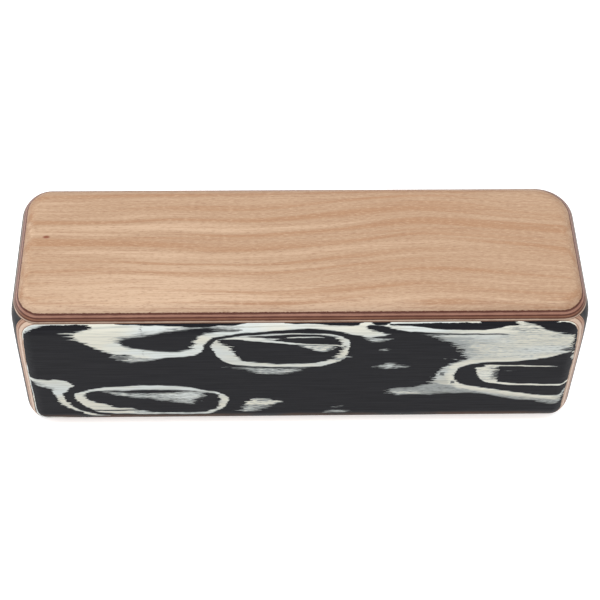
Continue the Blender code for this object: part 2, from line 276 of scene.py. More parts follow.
    Patch(WHITE, 2.5, 0.8, 0.55, ((6.5, 7.3), (8.5, 8), (10.6, 8.6), (12.5, 8.5), (15, 8)),
          ((6.5, 7), (10.6, 7), (15, 7.4))),
    Patch(WHITE, 2.0, 0.6, 0.15, ((9.8, 9.9), (11.5, 10.9), (13, 11)), ((9.8, 9.5), (11.5, 9.8), (13, 10.6))),
    Patch(WHITE, 4.0, 0.6, 0.25, ((22.4, 31.2), (27, 32), (31.8, 31)),
          ((22.4, 30), (27, 29.8), (31.8, 30.2))),
    Patch(WHITE, 2.5, 0.9, 0.55, ((23.8, 31.6), (25.5, 32.7), (27.5, 32.5), (29.4, 31.6)),
          ((23.8, 30.2), (25.5, 29.7), (27.5, 30.2), (29.4, 30.6))),
    Patch(WHITE, 2.0, 0.7, 0.2, ((23.3, 39.4), (25, 40), (26.3, 39.4)),
          ((23.3, 38.8), (25, 38.2), (26.3, 38.8))),
    # White mass on the upper right, greyer towards its left, with its black lenses and the line below them
    Patch(WHITE, 1.0, 0.4, 1.0, ((16.6, TOP), (84, TOP)),
          ((16.6, 49), (18.6, 49.4), (20, 49.9), (23, 49.7), (26, 48.9), (28.2, 48.3), (31.6, 47.6),
           (34.7, 47.3), (37.4, 47), (40.5, 46.7), (46, 46.5), (84, 46))),
    Patch(DRY, 4.0, 0.8, 1.0, ((36.2, 46.5), (38, 46.8), (58, 46.8)),
          ((36.2, 46.2), (37.4, 45.8), (38.5, 45.2), (39.7, 44.5), (41, 43.8), (43, 42.8), (45.2, 41.7),
           (46.4, 40.4), (47.2, 38.8), (47.8, 37.2), (48.3, 35.8), (49, 34.6), (50, 33.4), (51, 32),
           (58, 32))),
    Patch(PALE, 10.0, 2.0, 0.7, ((50, 46.8), (84, 46.8)), ((50, 32), (84, 32))),
    Patch(PALE, 6.0, 1.6, 0.8, ((58, 46.8), (84, 46.8)), ((58, 32), (84, 32))),
    Patch(PALE, 6.0, 0.8, 0.8, ((39, 46.4), (60, 46.4)), ((39, 45.6), (46, 44.4), (60, 44.6))),
    Patch(BLACK, 1.5, 0.25, 0.9,
          ((33, 47.6), (37.4, 47), (40.5, 46.8), (45, 46.6), (49, 46.5), (53, 46.4), (60, 46.3)),
          ((33, 46.9), (37.4, 46.4), (40.5, 46.3), (45, 46.3), (49, 46.3), (53, 46.2), (60, 46.2))),
    Patch(BLACK, 0.8, 0.25, 1.0,
          ((25.5, 50.2), (31.6, 50.3), (37.4, 50.4), (40.5, 50.5), (43.5, 50.8), (46.6, 50.7), (49.7, 50.5),
           (52.8, 50.3), (56, 50.1), (58.6, 50), (60, 49.9)),
          ((25.5, 50), (31.6, 49.9), (34.7, 49.5), (38.2, 49), (41.2, 48.7), (45, 48.5), (49, 48.4),
           (52.8, 48.4), (55.5, 48.7), (57.5, 49), (59, 49.5), (60, 49.8))),
    Patch(BLACK, 5.0, 1.6, 0.3, ((61, 49.2), (65, 50.6), (71, 49.6)), ((61, 48.2), (65, 46.8), (71, 46.8))),
    Patch(BLACK, 2.2, 0.6, 1.0, ((65, TOP), (84, TOP)),
          ((65, 50.8), (67.5, 50.2), (69.4, 49.6), (70.4, 48.9), (71.4, 48.2), (73, 47.6), (75, 47),
           (77.2, 46.5), (78.6, 46), (79.5, 45.3), (80, 44), (80.2, 42), (80.3, 39), (80.6, 35.5), (84, 33))),
    Patch(BLACK, 1.5, 0.6, 0.85, ((77.2, 38.9), (78.5, 39.4), (80.2, 39.5)),
          ((77.2, 38.6), (78.5, 38.1), (80.2, 38))),
    # Arc on the lower right with its dry left limb, the black inside it and the frayed loop within
    Patch(DRY, 4.0, 0.8, 0.9,
          ((26.8, 18.6), (28.3, 19.8), (30, 20.2), (33.5, 20.2), (35, 20.6), (37.5, 21.6), (39.5, 22.6),
           (40.5, 24.2), (42, 26), (60, 26)),
          ((26.8, 18), (28, 17), (30, 16.3), (36, 16.2), (42, 16.6), (46, 17), (60, 16.6))),
    Patch(WHITE, 5.0, 1.0, 0.45, ((27.4, 18.6), (32, 18.4), (39, 18)), ((27.4, 17), (32, 16.6), (39, 16.8))),
    Patch(CHALK, 2.0, 0.8, 1.0,
          ((40, 23.6), (41, 25.2), (41.4, 27), (42.2, 29), (43.2, 30.5), (44.8, 31.9), (47, 33.1), (49, 33.9),
           (52, 35), (84, 35)),
          ((40, 22.5), (43, 21.5), (48, 19.8), (52, 18.4), (56.5, 16.4), (59.5, 15.4), (62.5, 14.5),
           (65, 13.6), (68, 13.2), (72, 12.7), (74, 12), (76, 11.3), (78, 10.9), (80, 11.4), (80.7, 14),
           (81.4, 17.4), (84, 24))),
    Patch(WHITE, 1.5, 1.4, 0.9,
          ((44.2, 26.8), (44.4, 28.8), (45, 30.9), (46.8, 32.6), (50.5, 33.6), (54, 34), (60, 34.4),
           (66, 34.8), (70, 35.4), (78, 37)),
          ((44.2, 25.4), (44.8, 22.6), (46.6, 20.4), (49.6, 19.2), (54, 18.4), (57, 17.6), (60, 17.1),
           (63, 16.3), (66, 15.7), (69, 14.9), (74, 14), (78, 13.6))),
    Patch(BLACK, 4.0, 1.2, 0.5, ((56, 17), (62.5, 15.4), (68, 14.4), (74, 13.4), (80, 12.6)),
          ((56, 16), (62.5, 14.2), (68, 12.9), (74, 11.6), (80, 10.4))),
    Patch(BLACK, 0.8, 0.5, 1.0,
          ((46.2, 26.3), (46.6, 27.7), (47.4, 29.6), (49, 30.7), (51, 31.5), (53, 32), (55, 32.4), (59, 32.6),
           (62.5, 32.7), (65, 32.9), (67.5, 33.5), (70, 33.8), (72, 34.3), (75, 35.2), (77, 36), (78, 36.7),
           (80.3, 36.9), (81, 33), (84, 32.5)),
          ((46.2, 25.7), (47, 23.8), (48.6, 22.2), (50.8, 21.1), (54, 20.3), (57, 19.5), (60, 18.8),
           (63, 18.1), (66, 17.5), (69, 16.7), (72, 16), (75, 15.6), (78, 15.5), (80, 15.8), (81, 18),
           (84, 22))),
    Patch(WHITE, 0.8, 0.3, 0.95, ((52.6, 30.2), (54, 30.4), (55.2, 30.7), (55.8, 31.3), (59.8, 31.2)),
          ((52.6, 29.8), (53.2, 27.5), (53.8, 25.3), (54.6, 23.8), (55.7, 22.7), (57.5, 22), (59.8, 21.6))),
    Patch(BLACK, 3.4, 0.5, 0.95, ((58, 27.2), (58.6, 28.8), (59.2, 30), (62.4, 30.4)),
          ((58, 25.6), (58.8, 24.5), (59.6, 23.4), (62.4, 22.6))),
    Patch(WHITE, 0.8, 0.25, 0.95,
          ((55, 31.5), (59, 31.4), (62.5, 31.2), (66, 31.1), (70, 31), (74, 30.8), (77.8, 30.4)),
          ((55, 30.7), (59, 30.5), (62.5, 30.4), (66, 30.2), (70, 30.1), (74, 30), (77.8, 29.9))),
    Patch(WHITE, 0.6, 0.25, 1.0,
          ((57, 22.7), (60, 22.7), (62.5, 22.4), (66, 21.9), (70, 21.7), (75, 21.5), (79.5, 21.4), (80.7, 22),
           (84, 24)),
          ((57, 22.1), (60, 21.5), (62.5, 21), (66, 20.7), (70, 20.6), (75, 20.4), (79, 20.2), (80.5, 20.7),
           (84, 22.5))),
    Patch(WHITE, 3.0, 0.4, 0.15, ((60.5, 28.6), (64.7, 28.5)), ((60.5, 28), (64.7, 28))),
    Patch(BLACK, 0.5, 0.3, 0.7, ((42.3, 27.5), (43.3, 27.6)), ((42.3, 26.4), (43.3, 26.1))),
    Patch(BLACK, 0.5, 0.3, 0.7, ((45.8, 23.1), (46.7, 23)), ((45.8, 22.3), (46.7, 22.4))),
)

# Black slivers under the joint with the lid, where the upper edge is sanded into the next layer of the veneer
SLIVERS = (
    Patch(BLACK, 1.0, 0.25, 1.0, ((-54, TOP), (-16, TOP)),
          ((-54, 51), (-51, 50.8), (-48, 50.7), (-45, 50.5), (-42, 50.5), (-39, 50.4), (-36, 50.2),
           (-33, 50), (-30, 49.9), (-27, 50.1), (-24, 50.3), (-21, 50.4), (-18, 50.6), (-16, 51))),
    Patch(BLACK, 0.8, 0.25, 1.0, ((-5, TOP), (17.6, TOP)),
          ((-5, 51), (-2, 50.8), (2, 50.7), (6, 50.5), (10, 50.2), (14, 50.1), (16.5, 50.4), (17.6, 51))),
    Patch(BLACK, 0.8, 0.25, 1.0, ((20.2, TOP), (25.7, TOP)),
          ((20.2, 51), (21, 50.5), (22, 50.2), (23.5, 50.2), (25, 50.6), (25.7, 51))),
    Patch(BLACK, 1.2, 0.25, 1.0, ((52, 50.6), (53.5, TOP), (60, TOP), (63, 50.2)),
          ((52, 50.4), (54.7, 50.3), (58, 50), (60.3, 49.8), (63, 50))),
    Patch(BLACK, 1.2, 0.25, 1.0, ((64.4, TOP), (75, TOP)),
          ((64.4, 51), (66, 50.6), (70, 50), (73, 50.4), (75, 51))),
)

# Grain: how often it changes along, across and into a sheet, where it starts, its detail and roughness, and
# the reach of its swing about its middle level. Limits in brackets are what a ramp takes: a low and a high
# level, and what it gives at each, if that isn't nought and one.
Grain = namedtuple("Grain", "rate start detail roughness reach", defaults=((0, 0, 0), 2.0, 0.5, 1.0))
MIDDLE_LEVEL = 0.5

# Polish: the roughness of a surface at a low and at a high level of its grain, its shine, and the height of
# its bumps in metres
Polish = namedtuple("Polish", "low high low_rough high_rough shine bump")


def linear(red, green, blue):
    """A colour given as 0 to 255 on screen, as the linear value that a shader takes."""
    return tuple(Color((red / 255, green / 255, blue / 255)).from_srgb_to_scene_linear())


class Value:
    """What a node gives out. The plain signs of arithmetic add further nodes."""

    def __init__(self, shader, socket):
        self.shader = shader
        self.socket = socket

    def __add__(self, other):
        return self.shader.math("ADD", self, other)

    def __sub__(self, other):
        return self.shader.math("SUBTRACT", self, other)

    def __rsub__(self, other):
        return self.shader.math("SUBTRACT", other, self)

    def __mul__(self, other):
        return self.shader.math("MULTIPLY", self, other)

    def __truediv__(self, other):
        return self.shader.math("DIVIDE", self, other)

    def __neg__(self):
        return self * -1.0

    def __abs__(self):
        return self.shader.math("ABSOLUTE", self)


class Shader:
    """Nodes of a material or a world, with short calls that add a node, wire it and return its output."""

    def __init__(self, owner, surface="Principled BSDF"):
        owner.use_nodes = True
        self.owner = owner
        self.tree = owner.node_tree
        self.surface = self.tree.nodes[surface].inputs

    def plug(self, socket, value):
        """Wires a value to a socket, or sets a constant on it."""
        if isinstance(value, Value):
            self.tree.links.new(value.socket, socket)
        elif isinstance(value, tuple) and len(value) < len(socket.default_value):
            socket.default_value = (*value, 1.0)
        else:
            socket.default_value = value

    def add(self, kind, inputs, output=0, **settings):
        """Adds a node, fills its inputs and returns one of its outputs."""
        made = self.tree.nodes.new("ShaderNode" + kind)
        for key, setting in settings.items():
            setattr(made, key, setting)
        for key, value in inputs.items():
            self.plug(made.inputs[key], value)
        return Value(self, made.outputs[output])

    def math(self, operation, *values, clamp=False):
        return self.add("Math", dict(enumerate(values)), operation=operation, use_clamp=clamp)

    def place(self):
        """Place on the sheet, in millimetres: along it, across it and out of its outer face."""
        metres = self.add("TexCoord", {}, "Object")
        return self.add("VectorMath", {0: metres, "Scale": MILLIMETRES}, operation="SCALE")

    def parts(self, vector):
        split = self.add("SeparateXYZ", {0: vector}).socket.node
        return [Value(self, output) for output in split.outputs]

    def combined(self, x, y, z):
        return self.add("CombineXYZ", {0: x, 1: y, 2: z})

    def noise(self, vector, grain):
        """Level of a grain, from nought to one."""
        place = self.add("VectorMath", {0: vector, 1: grain.rate, 2: grain.start}, operation="MULTIPLY_ADD")
        inputs = {"Vector": place, "Scale": 1.0, "Detail": grain.detail, "Roughness": grain.roughness}
        return self.add("TexNoise", inputs, "Fac", noise_dimensions="3D")

    def swing(self, vector, grain):
        """A grain that swings about nought."""
        return (self.noise(vector, grain) - MIDDLE_LEVEL) * grain.reach

    def ramp(self, value, low, high, start=0.0, end=1.0, smooth=True):
        """Start up to low, end from high on, and a soft or straight step between."""
        inputs = {"Value": value, "From Min": low, "From Max": high, "To Min": start, "To Max": end}
        return self.add("MapRange", inputs, interpolation_type="SMOOTHSTEP" if smooth else "LINEAR")

    # Sockets of a Mix node go by number, because it repeats their names for colours and for plain numbers
    def mix(self, factor, first, second):
        """A mix of two colours."""
        return self.add("Mix", {0: factor, 6: first, 7: second}, 2, data_type="RGBA")

    def blend(self, factor, first, second):
        """A mix of two numbers."""
        return self.add("Mix", {0: factor, 2: first, 3: second}, data_type="FLOAT")

    def curve(self, value, points):
        """A smooth line through points, whose places along and across both lie from 0 to 1."""
        bent = self.add("FloatCurve", {"Value": value})
        mapping = bent.socket.node.mapping
        line = mapping.curves[0].points
        line[0].location = points[0]
        line[-1].location = points[-1]
        for point in points[1:-1]:
            line.new(*point)
        for point in line:
            point.handle_type = "AUTO_CLAMPED"
        mapping.update()
        return bent

    def seen(self):
        """One for what the camera sees, in shiny and clear surfaces too, and nought for other light."""
        rays = ("Is Camera Ray", "Is Glossy Ray", "Is Transmission Ray")
        camera, glossy, clear = (self.add("LightPath", {}, ray) for ray in rays)
        return self.math("MAXIMUM", camera, self.math("MAXIMUM", glossy, clear))

    def fill(self, inputs):
        """Fills inputs of the surface, by name, and returns the material or the world."""
        for name, value in inputs.items():
            self.plug(self.surface[name], value)
        return self.owner

    def finish(self, colour, grain, polish, metallic=0.0):
        """Colours the surface and lets its grain make it uneven."""
        roughness = self.ramp(grain, polish.low, polish.high, polish.low_rough, polish.high_rough)
        bump = self.add("Bump", {"Strength": 1.0, "Distance": polish.bump, "Height": grain})
        return self.fill({"Base Color": colour, "Roughness": roughness, "Specular IOR Level": polish.shine,
                          "Metallic": metallic, "Normal": bump})


def new_shader(name):
    return Shader(bpy.data.materials.new(name))


# Glue, and the inner plies: light and dark wood, the glue, and how far it stains the wood above and below, in
# millimetres
GLUE_RED = linear(82, 42, 30)
GLUE_BROWN = linear(84, 50, 34)
GLUE_TAN = linear(138, 100, 80)
Ply = namedtuple("Ply", "light dark glue above below")
PLIES = {
    ("lid", "outer_ply"): Ply(linear(152, 110, 92), linear(128, 88, 72), GLUE_RED, 0.18, 0.16),
    ("lid", "core_ply"): Ply(linear(130, 88, 66), linear(106, 68, 48), GLUE_RED, 0.16, 0.12),
    ("lid", "inner_ply"): Ply(linear(178, 155, 137), linear(156, 134, 116), GLUE_BROWN, 0.18, 0.08),
    ("wall", "outer_ply"): Ply(linear(208, 183, 163), linear(190, 164, 144), GLUE_TAN, 0.08, 0.14),
    ("wall", "core_ply"): Ply(linear(180, 144, 122), linear(160, 124, 103), GLUE_TAN, 0.12, 0.12),
    ("wall", "inner_ply"): Ply(linear(200, 170, 147), linear(180, 150, 127), GLUE_TAN, 0.06, 0.10),
}
PLY_STREAKS = Grain((0.05, 0.9, 5.0), detail=4.0, roughness=0.65)
PLY_SHADES = (0.3, 0.7)
PLY_PORES = Grain((0.5, 2.4, 7.0))
PORE_STEP = (0.60, 0.78, 0.0, 0.35)
PLY_POLISH = Polish(0.2, 0.8, 0.5, 0.4, 0.35, 0.00004)

# Glue soaks in unevenly, and its stain has a soft edge
GLUE_FLOW = Grain((0.3, 0.3, 0.3), detail=3.0, roughness=0.6)
GLUE_WIDTH = (0.3, 0.7, 0.7, 1.3)
STAIN_SOFTNESS = 0.3

# The innermost plies are glued only outside the hollow of the box, with a narrow bead just inside it
Hollow = namedtuple("Hollow", "half_along half_across middle")
GLUE_BEAD = 0.6


def hollows():
    """The hollow of the box, as the sheets of a lid and of a wall face it, in millimetres."""
    sides = (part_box("right_end_board")[0].x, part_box("back_inner_ply")[0].y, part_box("top_inner_ply")[0].z)
    half = (Vector(sides) - CENTRE) * MILLIMETRES
    return {"lid": Hollow(half.x, half.y, DEPTH / 2 * MILLIMETRES),
            "wall": Hollow(half.x, half.z, HEIGHT / 2 * MILLIMETRES)}


def outside_hollow(shader, place, hollow):
    """One where an innermost ply lies on other pieces, nought where it faces the hollow."""
    x, y = shader.parts(place)[:2]
    along = abs(x) - hollow.half_along
    across = abs(y - hollow.middle) - hollow.half_across
    return shader.ramp(shader.math("MAXIMUM", along, across), -GLUE_BEAD, 0.0)


def stain(shader, distance, reach, softness):
    """Glue in the wood: full next to the glue line, and gone past its reach."""
    return shader.ramp(distance, reach * (1 - softness), reach * (1 + softness), 1.0, 0.0)


def glue_stain(shader, place, depth, span, ply, hollow):
    """How much glue has stained the wood of a ply, whose span is its depth below the outside."""
    start, end = span
    width = shader.ramp(shader.noise(place, GLUE_FLOW), *GLUE_WIDTH, smooth=False)
    upper = stain(shader, (depth - start) / width, ply.above, STAIN_SOFTNESS)
    lower = stain(shader, (end - depth) / width, ply.below, STAIN_SOFTNESS)
    if hollow:
        lower = lower * outside_hollow(shader, place, hollow)
    return shader.math("MAXIMUM", upper, lower)


def ply_material(name, span, ply, hollow):
    """A bare inner ply: fine streaks that follow the sheet, stained along its glue lines."""
    shader = new_shader(name)
    place = shader.place()
    depth = -shader.parts(place)[2]
    streaks = shader.noise(place, PLY_STREAKS)
    wood = shader.mix(shader.ramp(streaks, *PLY_SHADES), ply.dark, ply.light)
    wood = shader.mix(shader.ramp(shader.noise(place, PLY_PORES), *PORE_STEP), wood, ply.glue)
    stained = shader.mix(glue_stain(shader, place, depth, span, ply, hollow), wood, ply.glue)
    return shader.finish(stained, streaks, PLY_POLISH)


# Light veneer: its soft bands sway and rise in a low crest, its fibres, flecks and dashes are straight, and
# a painted pool of light makes it palest near the front left. Each streak colours the wood from a low to a
# high level of its grain.
VENEER_LIGHT = linear(203, 174, 147)
VENEER_MID = linear(180, 149, 122)
VENEER_ROSE = linear(171, 133, 103)
VENEER_DARK = linear(156, 119, 93)
VENEER_PORE = linear(130, 93, 70)
BAND_SWAY = Grain((0.016, 0.03, 0.03), detail=1.0)
SWAY_HEIGHT = 6.0
CREST_X = 40.0
CREST_WIDTH = 30.0
CREST_HEIGHT = 5.0
# Painted light: the lid is painted lighter towards the front left, fading out over this reach
PAINTED_LIGHT_X = -40.0
PAINTED_LIGHT_Y = 4.0
PAINTED_LIGHT_REACH = 32.0
PAINTED_LIGHT_SLOPE = 0.2
CLOUDS = Grain((0.022, 0.05, 0.05), (5, 3, 1))
BANDS = Grain((0.007, 0.27, 1.0), detail=3.0, roughness=0.55)
FIBRES = Grain((0.05, 2.1, 2.1), detail=4.0, roughness=0.65)
FLECKS = Grain((0.60, 2.8, 2.8), (1, 6, 2), 3.0, 0.6)
DASHES = Grain((0.40, 4.4, 4.4), (4, 1, 7))
Streak = namedtuple("Streak", "grain low high cover colour")
VENEER_STREAKS = (
    Streak(BANDS, 0.47, 0.64, 1.0, VENEER_ROSE),
    Streak(BANDS, 0.47, 0.31, 0.8, VENEER_LIGHT),
    Streak(FIBRES, 0.46, 0.74, 0.6, VENEER_DARK),
    Streak(FLECKS, 0.50, 0.72, 0.5, VENEER_DARK),
    Streak(FLECKS, 0.50, 0.30, 0.5, VENEER_LIGHT),
    Streak(DASHES, 0.58, 0.76, 0.6, VENEER_PORE),
)
VENEER_POLISH = Polish(0.3, 0.7, 0.58, 0.48, 0.2, 0.00003)

# A small long knot lies near the left end of the lid
KNOT_RED = linear(120, 58, 40)
KNOT_X = -75.8
KNOT_Y = 31.4
KNOT_SQUEEZE = 0.5
KNOT_EDGE = (0.25, 0.75, 0.85, 0.0)

# The light veneer turns darker and redder the deeper it is sanded, and the glue line under it has a rough edge
THIN_DEPTH = 0.2
THIN_TINT = 0.3
FACE_STAIN = 0.16
FACE_STAIN_SOFTNESS = 0.4
GLUE_EDGE = Grain((0.9, 0.9, 2.0), (2, 2, 8), 3.0, 0.6, reach=0.4)


def light_veneer_material(span):
    """Light face veneer: soft bands with a low crest, fine straight fibres, short dashes and a small knot."""
    shader = new_shader("light_veneer")
    place = shader.place()
    x, y, z = shader.parts(place)
    depth = -z
    offset = (x - CREST_X) / CREST_WIDTH
    bell = shader.math("EXPONENT", -(offset * offset))
    level = y - (bell * CREST_HEIGHT + shader.noise(place, BAND_SWAY) * SWAY_HEIGHT)
    grains = {grain: shader.noise(place, grain) for grain in (FIBRES, FLECKS, DASHES)}
    grains[BANDS] = shader.noise(shader.combined(x, level, depth), BANDS)
    # Painted light mixed with random clouds of tone: the veneer is painted paler towards the front left
    from_painted_light = abs(x - PAINTED_LIGHT_X) * PAINTED_LIGHT_SLOPE + (y - PAINTED_LIGHT_Y)
    tone = shader.ramp(from_painted_light, 0.0, PAINTED_LIGHT_REACH) + shader.swing(place, CLOUDS)
    wood = shader.mix(shader.ramp(tone, 0.0, 1.0), VENEER_LIGHT, VENEER_MID)
    for streak in VENEER_STREAKS:
        cover = shader.ramp(grains[streak.grain], streak.low, streak.high, 0.0, streak.cover)
        wood = shader.mix(cover, wood, streak.colour)
    from_knot = shader.combined((x - KNOT_X) * KNOT_SQUEEZE, y - KNOT_Y, 0.0)
    distance = shader.add("VectorMath", {0: from_knot}, "Value", operation="LENGTH")
    wood = shader.mix(shader.ramp(distance, *KNOT_EDGE), wood, KNOT_RED)
    thin = shader.ramp(depth, THIN_DEPTH, span[1], 0.0, THIN_TINT, smooth=False)
    wood = shader.mix(thin, wood, GLUE_RED)
    below = shader.swing(place, GLUE_EDGE) + (span[1] - depth)
    stained = shader.mix(stain(shader, below, FACE_STAIN, FACE_STAIN_SOFTNESS), wood, GLUE_RED)
    return shader.finish(stained, grains[FIBRES], VENEER_POLISH)


# The figure frays along the grain in coarse and fine fibres, thin cover is streaked, soft edges are feathered
# and its lines wander a little. The black runs a little way into the white, in millimetres.
COARSE_FRAY = Grain((0.11, 1.3, 0.0), detail=3.0, roughness=0.6, reach=2.6)
FINE_FRAY = Grain((0.36, 4.0, 0.0), (3, 8, 0), reach=2.2)
COVER_STREAKS = Grain((0.14, 2.2, 0.0), (7, 2, 0), 3.0, 0.6, reach=1.6)
COVER_DASHES = Grain((0.55, 3.2, 0.0), (4, 9, 0), reach=1.8)
FEATHER = Grain((0.16, 2.6, 0.0), (5, 5, 0), 3.0, 0.6, reach=2.4)
WANDER = Grain((0.22, 0.30, 0.0), (1, 5, 0), reach=0.5)
INK_BLEED = 0.2


def edge_height(shader, along, edge, start, length):
    """Height of an edge, in millimetres, at a share of the length of its patch."""
    top = HEIGHT * MILLIMETRES
    return shader.curve(along, [((x - start) / length, y / top) for x, y in edge]) * top


def paint(shader, place, patches, tone):
    """Paints patches of the figure over a tone."""
    x, y = shader.parts(place)[:2]
    fray = shader.swing(place, COARSE_FRAY) + shader.swing(place, FINE_FRAY)
    thin = shader.swing(place, COVER_STREAKS) + shader.swing(place, COVER_DASHES)
    feather = shader.swing(place, FEATHER)
    level = shader.swing(place, WANDER) + y
    for patch in patches:
        start = patch.upper[0][0]
        length = patch.upper[-1][0] - start
        frayed_x = shader.math("MULTIPLY_ADD", fray, patch.fray, x)
        along = shader.ramp(frayed_x, start, start + length, smooth=False)
        below_upper = edge_height(shader, along, patch.upper, start, length) - level
        above_lower = level - edge_height(shader, along, patch.lower, start, length)
        to_end = length / 2 - abs(frayed_x - (start + length / 2))
        inside = shader.math("MINIMUM", shader.math("MINIMUM", below_upper, above_lower), to_end)
        inside = shader.math("MULTIPLY_ADD", feather, patch.soft, inside)
        bleed = INK_BLEED if patch.tone > BLACK else -INK_BLEED
        cover = shader.ramp(inside, bleed - patch.soft / 2, bleed + patch.soft / 2)
        if patch.cover < 1.0:
            cover = cover * shader.math("ADD", thin, patch.cover, clamp=True)
        tone = shader.blend(cover, tone, patch.tone)
    return tone


# Figured veneer: its blacks and whites, which are warmer to the right and cooler in the middle tones
INK_BLACK = linear(22, 22, 26)
SOFT_BLACK = linear(33, 33, 37)
BROWN_BLACK = linear(66, 42, 26)
COOL_WHITE = linear(220, 226, 224)
CREAM_WHITE = linear(226, 224, 210)
GREY_WHITE = linear(192, 194, 186)
BARE_TAN = linear(192, 163, 142)
FIBRE_STREAKS = Grain((0.06, 2.0, 2.0), (2, 7, 5), 4.0, 0.62)
BLACK_SHADES = (0.3, 0.75)
GREY_SHADES = (0.46, 0.72)
TINT = Grain((0.04, 0.12, 0.12), (6, 1, 3))
CREAM_SHADES = (0.38, 0.62)
WARM_RIGHT = (20.0, 60.0, 0.0, 0.14)
COOL_TONES = (0.88, 0.6, 0.0, 0.3)
FIGURED_POLISH = Polish(0.3, 0.7, 0.5, 0.42, 0.07, 0.00003)

# Depths at which sanding reaches the white and the black layer, in millimetres. The sanding is uneven, deeper
# at the low left, and deepest at its foot. Further limits are heights and places along the wall.
UNEVEN = Grain((0.05, 0.05, 0.3), (9, 4, 2), reach=0.3)
RAGGED = Grain((0.5, 0.5, 0.5), (3, 3, 6), 3.0, 0.6, reach=0.5)
WHITE_LAYER = (1.01, 1.07)
BLACK_LAYER = (1.22, 1.28)
LOW_LEFT_Y = (26.0, 18.0)
LOW_LEFT_X = (-60.0, -70.0)
LOW_LEFT_DEPTH = 0.22
FOOT_Y = (9.0, 6.0)
FOOT_X = (-68.0, -76.0)
FOOT_DEPTH = 0.3

# The lower edge is worn brown in places. The upright edges are sanded to bare wood about this height, and the
# right one nearly up to the lid.
WORN_Y = (7.6, 5.8)
WORN_PLACES = (0.35, 0.6)
BARE_Y = 38.0
BARE_FADE = (5.0, 7.5, 1.0, 0.0)
BARE_RIGHT_X = (76.0, 79.0)
BARE_RIGHT_Y = (49.6, 48.4)


def figured_veneer_material():
    """Black and white figured veneer over a white and a black layer, which show where it is sanded."""
    shader = new_shader("figured_veneer")
    place = shader.place()
    x, y, z = shader.parts(place)
    uneven = shader.noise(place, UNEVEN)
    low_left = shader.ramp(y, *LOW_LEFT_Y) * shader.ramp(x, *LOW_LEFT_X)
    foot = shader.ramp(y, *FOOT_Y) * shader.ramp(x, *FOOT_X)
    deeper = (uneven - MIDDLE_LEVEL) * UNEVEN.reach + shader.swing(place, RAGGED)
    sanded = deeper + low_left * LOW_LEFT_DEPTH - z
    tone = paint(shader, place, FIGURE, BLACK)
    tone = shader.blend(shader.ramp(sanded + foot * FOOT_DEPTH, *WHITE_LAYER), tone, WHITE)
    tone = shader.blend(shader.ramp(sanded, *BLACK_LAYER) * low_left, tone, BLACK)
    tone = paint(shader, place, SLIVERS, tone)
    streaks = shader.noise(place, FIBRE_STREAKS)
    worn = shader.ramp(y, *WORN_Y) * shader.ramp(uneven, *WORN_PLACES)
    black = shader.mix(shader.ramp(streaks, *BLACK_SHADES), INK_BLACK, SOFT_BLACK)
    black = shader.mix(worn, black, BROWN_BLACK)
    warm = shader.noise(place, TINT) + shader.ramp(x, *WARM_RIGHT) - shader.ramp(tone, *COOL_TONES)
    white = shader.mix(shader.ramp(warm, *CREAM_SHADES), COOL_WHITE, CREAM_WHITE)
    white = shader.mix(shader.ramp(streaks, *GREY_SHADES), white, GREY_WHITE)
    colour = shader.mix(tone, black, white)
    bare_right = shader.ramp(x, *BARE_RIGHT_X) * shader.ramp(y, *BARE_RIGHT_Y)
    bare = shader.math("MAXIMUM", shader.ramp(abs(y - BARE_Y), *BARE_FADE), bare_right)
    colour = shader.mix(bare * shader.ramp(sanded, *WHITE_LAYER), colour, BARE_TAN)
    return shader.finish(colour, streaks, FIGURED_POLISH)


# Dark solid wood of the end boards
BOARD_GREY = linear(70, 67, 65)
BOARD_DARK = linear(40, 40, 43)
BOARD_GRAIN = Grain((2.6, 0.14, 2.6), detail=4.0, roughness=0.6)
BOARD_GRAIN_STEP = (0.45, 0.75, 0.0, 0.7)
BOARD_BANDS = Grain((0.3, 0.02, 0.3), (3, 1, 5))
BOARD_SHADES = (0.35, 0.65)
BOARD_POLISH = Polish(0.3, 0.7, 0.6, 0.5, 0.12, 0.00003)


def dark_wood_material():
    """Dark solid wood of the end boards, with upright grain."""
    shader = new_shader("dark_wood")
    place = shader.place()
    grain = shader.noise(place, BOARD_GRAIN)
    bands = shader.noise(place, BOARD_BANDS)
    wood = shader.mix(shader.ramp(bands, *BOARD_SHADES), BOARD_DARK, BOARD_GREY)
    wood = shader.mix(shader.ramp(grain, *BOARD_GRAIN_STEP), wood, BOARD_DARK)
    return shader.finish(wood, grain, BOARD_POLISH)


# Steel of the shot
STEEL_BRIGHT = linear(196, 198, 200)
STEEL_DULL = linear(150, 152, 156)
SCUFFS = Grain((2.2, 2.2, 2.2), detail=5.0, roughness=0.7)
SCUFF_STEP = (0.45, 0.7)
STEEL_POLISH = Polish(0.35, 0.75, 0.22, 0.48, 0.5, 0.00002)


def steel_material():
    """Bright steel shot, scuffed where the balls knock together."""
    shader = new_shader("steel")
    scuffs = shader.noise(shader.place(), SCUFFS)
    colour = shader.mix(shader.ramp(scuffs, *SCUFF_STEP), STEEL_BRIGHT, STEEL_DULL)
    return shader.finish(colour, scuffs, STEEL_POLISH, metallic=1.0)


def ply_span(panel_name, layer):
    """Depth of a ply below the outside of its panel, in millimetres."""
    panel = PANELS[panel_name]
    low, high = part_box(f"{panel_name}_{layer}")
    out = Vector(panel.out)
    outside = max(LOW.dot(out), HIGH.dot(out))
    depths = sorted((outside - corner.dot(out)) * MILLIMETRES for corner in (low, high))
    return max(depths[0], 0.0), depths[1]


def wood_materials():
    """One material for each ply of the lids and of the walls, and one for the end boards."""
    made = {("board", "board"): dark_wood_material()}
    for kind, panel_name in (("lid", "top"), ("wall", "front")):
        for layer in LAYERS[kind]:
            span = ply_span(panel_name, layer)
            if layer != "face_veneer":
                hollow = hollows()[kind] if layer == "inner_ply" else None
                made[kind, layer] = ply_material(f"{kind}_{layer}", span, PLIES[kind, layer], hollow)
            elif kind == "lid":
                made[kind, layer] = light_veneer_material(span)
            else:
                made[kind, layer] = figured_veneer_material()
    return made


